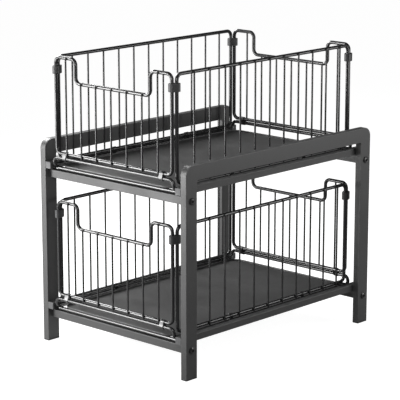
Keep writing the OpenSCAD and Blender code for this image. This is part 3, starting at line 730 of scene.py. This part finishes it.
def capsule(a, b, radius, low, high, edge, axis, limit=None):
    """An outline of two half circles about a and b, carried along one axis with rounded ends.

    A point is its centre + (radius - drawn in) * (cos t, sin t), where an end's ring p is drawn in by
    edge * (1 - sin p) and lies edge * (1 - cos p) from the end. Limit cuts the outline off flat in X.
    """
    a, b = np.array(a, float), np.array(b, float)
    tilt = np.arctan2(*(b - a)[::-1])
    t = np.radians(np.linspace(90, 270, 17))
    t = np.concatenate([t, t + np.pi]) + tilt
    centre = np.repeat([a, b], 17, 0)
    out = np.stack([np.cos(t), np.sin(t)], 1)
    p = np.radians(np.linspace(0, 90, 5))
    drawn = np.concatenate([edge * (1 - np.sin(p)), [0]])
    depth = np.concatenate([edge * (1 - np.cos(p)), [edge * 1.4]])
    drawn = np.concatenate([[edge * 1.3], drawn, drawn[::-1], [edge * 1.3]])
    depth = np.concatenate([[0], depth])
    place = np.concatenate([low + depth, high - depth[::-1]])
    ring = centre + (radius - drawn)[:, None, None] * out
    if limit is not None:
        ring[..., 0] = np.minimum(ring[..., 0], limit)
    u, v = [k for k in range(3) if k != axis]
    grid = np.empty((*ring.shape[:2], 3))
    grid[..., u], grid[..., v], grid[..., axis] = ring[..., 0], ring[..., 1], place[:, None]
    return skin(grid)


clip_plastic = polypropylene("grey_polypropylene", CLIP_GREY)
for tier in ("upper", "lower"):
    low, high = (np.array(c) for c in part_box(tier + "_corner_clips"))
    face_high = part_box(tier + "_front_panel")[1]
    rear_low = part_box(tier + "_rear_panel")[0]
    side_low, side_high = (np.array(c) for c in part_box(tier + "_right_panel"))
    face_x, side_x = face_high[0] - WIRE_R, side_low[0] + WIRE_R
    corners = ((face_high[1] - WIRE_R, side_low[1] + WIRE_R), (rear_low[1] + WIRE_R, side_high[1] - WIRE_R))
    clips = [capsule((k * face_x, face_y), (k * side_x, side_y), CLIP_R, low[2], high[2], CLIP_EDGE, 2)
             for k in (-1, 1) for face_y, side_y in corners]
    clip = piece("snap_corner_clips_" + tier, clips, clip_plastic)
    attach(clip, tier + "_basket")
    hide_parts(tier + "_corner_clips")

# Hinge sleeves: strips of steel sheet, 7 mm wide, rolled round a panel's bottom wire and the base wire.
# The panel folds about them for shipping. They are coated with the basket.
SLEEVE_R = 3.4 * MM
SLEEVE_LONG = 7 * MM
SLEEVE_EDGE = 0.3 * MM
SLEEVE_GAP = 0.5 * MM
SLEEVE_FLAT = 0.5 * MM
SLEEVE_SHARES = (0.25, 0.75)

for tier in ("upper", "lower"):
    low, high = (np.array(c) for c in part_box(tier + "_hinge_sleeves"))
    ring_low, ring_high = (np.array(c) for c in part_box(tier + "_base_ring"))
    runner_x, runner_z, ring_z = ring_high[0] - WIRE_R, ring_low[2] + WIRE_R, ring_high[2] - WIRE_R
    sleeves = []
    for ring_y, panel, edge_y in ((ring_low[1] + WIRE_R, "front", 1), (ring_high[1] - WIRE_R, "rear", 0)):
        panel_low, panel_high = (np.array(c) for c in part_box(f"{tier}_{panel}_panel"))
        panel_y = panel_high[1] - WIRE_R if edge_y else panel_low[1] + WIRE_R
        x = FACE_OUTER * FACE_PITCH + THIN_R + SLEEVE_GAP
        for x0, x1 in ((-x - SLEEVE_LONG, -x), (x, x + SLEEVE_LONG)):
            sleeves.append(capsule((ring_y, ring_z), (panel_y, panel_low[2] + WIRE_R), SLEEVE_R,
                                   x0, x1, SLEEVE_EDGE, 0))
    side_low, side_high = (np.array(c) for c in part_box(tier + "_right_panel"))
    first, last = side_low[1] + WIRE_R + SIDE_FRONT_GAP, side_high[1] - WIRE_R - SIDE_REAR_GAP
    for share in SLEEVE_SHARES:
        y = first + (last - first) * share
        points, faces, worn = capsule((runner_x, runner_z), (side_low[0] + WIRE_R, side_low[2] + WIRE_R),
                                      SLEEVE_R, y - SLEEVE_LONG / 2, y + SLEEVE_LONG / 2, SLEEVE_EDGE, 1,
                                      limit=runner_x + SLEEVE_FLAT)
        sleeves += [(points, faces, worn), (points * (-1, 1, 1), faces, worn)]
    bands = piece("rolled_sleeves_" + tier, sleeves, black_epoxy)
    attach(bands, tier + "_basket")
    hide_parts(tier + "_hinge_sleeves")

# Rear shoes: moulded black nylon, clipped on each runner near the rear. The foot rides on top of the rail
# and the hook runs under it, so a basket that is pulled out doesn't tip.
SHOE_FOOT = 2 * MM
SHOE_PLAY = 0.3 * MM
SHOE_WALL = 0.45 * MM
SHOE_HOOK = 3 * MM
SHOE_RISE = 5.2 * MM
SHOE_DROP = 2.7 * MM
SHOE_REACH = 3.8 * MM

for tier in ("upper", "lower"):
    low, high = (np.array(c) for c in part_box(tier + "_rear_shoes"))
    rail_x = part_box(tier + "_right_rail")[0][0]
    hook_in, back = rail_x - SHOE_PLAY - SHOE_FOOT, rail_x - SHOE_PLAY
    body_low, body_in = low[2] + SHOE_RISE, RUNNER_X - WIRE_R - SHOE_WALL
    foot_low, body_top, foot_in = high[2] - SHOE_FOOT, high[2] - SHOE_DROP, rail_x - SHOE_REACH
    hook_out = rail_x + SHOE_HOOK - SHOE_PLAY
    outline = np.array([(hook_in, low[2]), (hook_out, low[2]), (hook_out, low[2] + SHOE_FOOT),
                        (back, low[2] + SHOE_FOOT), (back, foot_low), (high[0], foot_low), (high[0], high[2]),
                        (foot_in, high[2]), (foot_in, body_top), (body_in, body_top), (body_in, body_low),
                        (hook_in, body_low)])
    pair = [extrusion(outline * (side, 1), low[1], high[1]) for side in (-1, 1)]
    shoes = rounded(piece("hooked_shoes_" + tier, pair, black_nylon), MOULD_EDGE)
    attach(shoes, tier + "_basket")
    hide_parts(tier + "_rear_shoes")

# Studio: a white paper floor without an edge, soft lamps at the front left, a large one high on the left and
# weak ones at the right, in a dim room that is paler towards the front left. The floor and the room are
# white to the camera, and the floor keeps a faint shadow.
FLOOR_HALF = 8.0
FLOOR_WHITE = 0.95
FLOOR_POINTS = 9
FIBRE = 2.5 * MM
FIBRE_GREY = "#9e9e9e"
FIBRE_PALE = "#a4a4a4"
MIRRORED_FLOOR = 0.1
MIRRORED_SURROUND = 0.1
MIRRORED_FRONT = 0.9
FRONT_LEFT = (-0.68, -0.73, 0)
AMBIENT = 0.1
AIM = (0, 0, 0.25)


def mirrored(tree, place, dark):
    """How bright the studio stands in a mirror: dark, and up to MIRRORED_FRONT towards the front left.

    The share is a smooth step of the cosine between the direction to a place and the front left."""
    ahead = add(tree, "ShaderNodeVectorMath", {"operation": "NORMALIZE"}, {0: place})
    cosine = add(tree, "ShaderNodeVectorMath", {"operation": "DOT_PRODUCT", 1: FRONT_LEFT},
                 {0: ahead.outputs["Vector"]})
    share = add(tree, "ShaderNodeMapRange",
                {"interpolation_type": "SMOOTHSTEP", "From Min": 0.3, "From Max": 0.95,
                 "To Min": dark, "To Max": MIRRORED_FRONT}, {"Value": cosine.outputs["Value"]})
    return share.outputs["Result"]


paper = bpy.data.materials.new("white_paper")
paper.use_nodes = True
tree = paper.node_tree
tree.nodes.clear()
rays = add(tree, "ShaderNodeLightPath")
seen = add(tree, "ShaderNodeMath", {"operation": "MAXIMUM"},
           {0: rays.outputs["Is Camera Ray"], 1: rays.outputs["Is Transmission Ray"]})
place = add(tree, "ShaderNodeTexCoord").outputs["Object"]
share = mirrored(tree, place, MIRRORED_FLOOR)
level = add(tree, "ShaderNodeMath", {"operation": "MULTIPLY"}, {0: rays.outputs["Is Glossy Ray"], 1: share})
level = add(tree, "ShaderNodeMath", {"operation": "MULTIPLY_ADD", 1: FLOOR_WHITE},
            {0: seen.outputs["Value"], 2: level.outputs["Value"]})
fibre = add(tree, "ShaderNodeTexNoise", {"Scale": 1 / FIBRE, "Detail": 3.0}, {"Vector": place})
pulp = add(tree, "ShaderNodeMix", {"data_type": "RGBA", 6: tone(FIBRE_GREY), 7: tone(FIBRE_PALE)},
           {0: fibre.outputs["Fac"]})
matte = add(tree, "ShaderNodeBsdfDiffuse", {}, {"Color": pulp.outputs["Result"]})
glow = add(tree, "ShaderNodeEmission", {}, {"Strength": level.outputs["Value"]})
lit = add(tree, "ShaderNodeAddShader", {}, {0: matte.outputs["BSDF"], 1: glow.outputs["Emission"]})
add(tree, "ShaderNodeOutputMaterial", {}, {"Surface": lit.outputs["Shader"]})
edge = np.linspace(-FLOOR_HALF, FLOOR_HALF, FLOOR_POINTS)
u, v = np.meshgrid(edge, edge, indexing="ij")
ground = bpy.data.meshes.new("paper_floor")
index = np.arange(FLOOR_POINTS ** 2).reshape(FLOOR_POINTS, FLOOR_POINTS)
quads = np.stack([index[:-1, :-1], index[1:, :-1], index[1:, 1:], index[:-1, 1:]], -1).reshape(-1, 4)
ground.from_pydata(np.stack([u, v, np.zeros_like(u)], -1).reshape(-1, 3), [], quads.tolist())
ground.materials.append(paper)
floor = bpy.data.objects.new("paper_floor", ground)
bpy.context.scene.collection.objects.link(floor)

surround = bpy.data.worlds.new("dim_surround")
surround.use_nodes = True
tree = surround.node_tree
tree.nodes.clear()
rays = add(tree, "ShaderNodeLightPath")
seen = add(tree, "ShaderNodeMath", {"operation": "MAXIMUM"},
           {0: rays.outputs["Is Camera Ray"], 1: rays.outputs["Is Transmission Ray"]})
share = mirrored(tree, add(tree, "ShaderNodeTexCoord").outputs["Generated"], MIRRORED_SURROUND)
level = add(tree, "ShaderNodeMix", {2: AMBIENT}, {0: rays.outputs["Is Glossy Ray"], 3: share})
level = add(tree, "ShaderNodeMath", {"operation": "MAXIMUM"},
            {0: level.outputs["Result"], 1: seen.outputs["Value"]})
white = add(tree, "ShaderNodeBackground", {"Color": (1, 1, 1, 1)}, {"Strength": level.outputs["Value"]})
add(tree, "ShaderNodeOutputWorld", {}, {"Surface": white.outputs["Background"]})
bpy.context.scene.world = surround


def softbox(name, place, aim, wide, tall, power):
    """A rectangular lamp at place that shines on aim, its long side level."""
    lamp = bpy.data.lights.new(name, "AREA")
    lamp.shape, lamp.size, lamp.size_y, lamp.energy = "RECTANGLE", wide, tall, power
    held = bpy.data.objects.new(name, lamp)
    back = np.array(place, float) - np.array(aim, float)
    back /= np.linalg.norm(back)
    level = np.cross((0, 0, 1), back)
    level /= np.linalg.norm(level)
    axes = np.eye(4)
    axes[:3, 0], axes[:3, 1], axes[:3, 2], axes[:3, 3] = level, np.cross(back, level), back, place
    held.matrix_world = Matrix(axes.tolist())
    bpy.context.scene.collection.objects.link(held)


softbox("floor_softbox", (-0.66, -0.95, 0.1), AIM, 0.4, 0.18, 4.0)
softbox("low_key_softbox", (-0.62, -0.8, 0.3), AIM, 0.2, 0.3, 2.8)
softbox("key_softbox", (-0.62, -0.8, 0.52), AIM, 0.2, 0.3, 3.0)
softbox("front_strip", (0.25, -0.5, 0.45), AIM, 0.3, 0.16, 0.8)
softbox("left_softbox", (-0.9, 0.1, 0.8), AIM, 0.6, 0.4, 16.0)
softbox("low_right_softbox", (0.75, 0.55, 0.35), AIM, 0.5, 0.3, 2.6)
softbox("right_strip", (0.45, 0, 0.75), AIM, 0.5, 0.2, 0.5)

# Camera: a long lens at the front right, a little above the object, turned to the photo's viewing angle.
AZIMUTH, PITCH = np.radians(42.984), np.radians(12.959)
LENS_PLACE = (1.75346, -1.89803, 0.78538)
LENS, SENSOR = 169.3, 36.0
back = np.array([np.sin(AZIMUTH) * np.cos(PITCH), -np.cos(AZIMUTH) * np.cos(PITCH), np.sin(PITCH)])
right = np.array([np.cos(AZIMUTH), np.sin(AZIMUTH), 0])
axes = np.eye(4)
axes[:3, 0], axes[:3, 1], axes[:3, 2], axes[:3, 3] = right, np.cross(back, right), back, LENS_PLACE
eye = bpy.data.cameras.new("long_lens")
eye.sensor_width, eye.lens = SENSOR, LENS
eye.clip_start, eye.clip_end = 0.05, 50.0
camera = bpy.data.objects.new("long_lens", eye)
camera.matrix_world = Matrix(axes.tolist())
bpy.context.scene.collection.objects.link(camera)
bpy.context.scene.camera = camera
bpy.context.scene.view_settings.view_transform = "Standard"
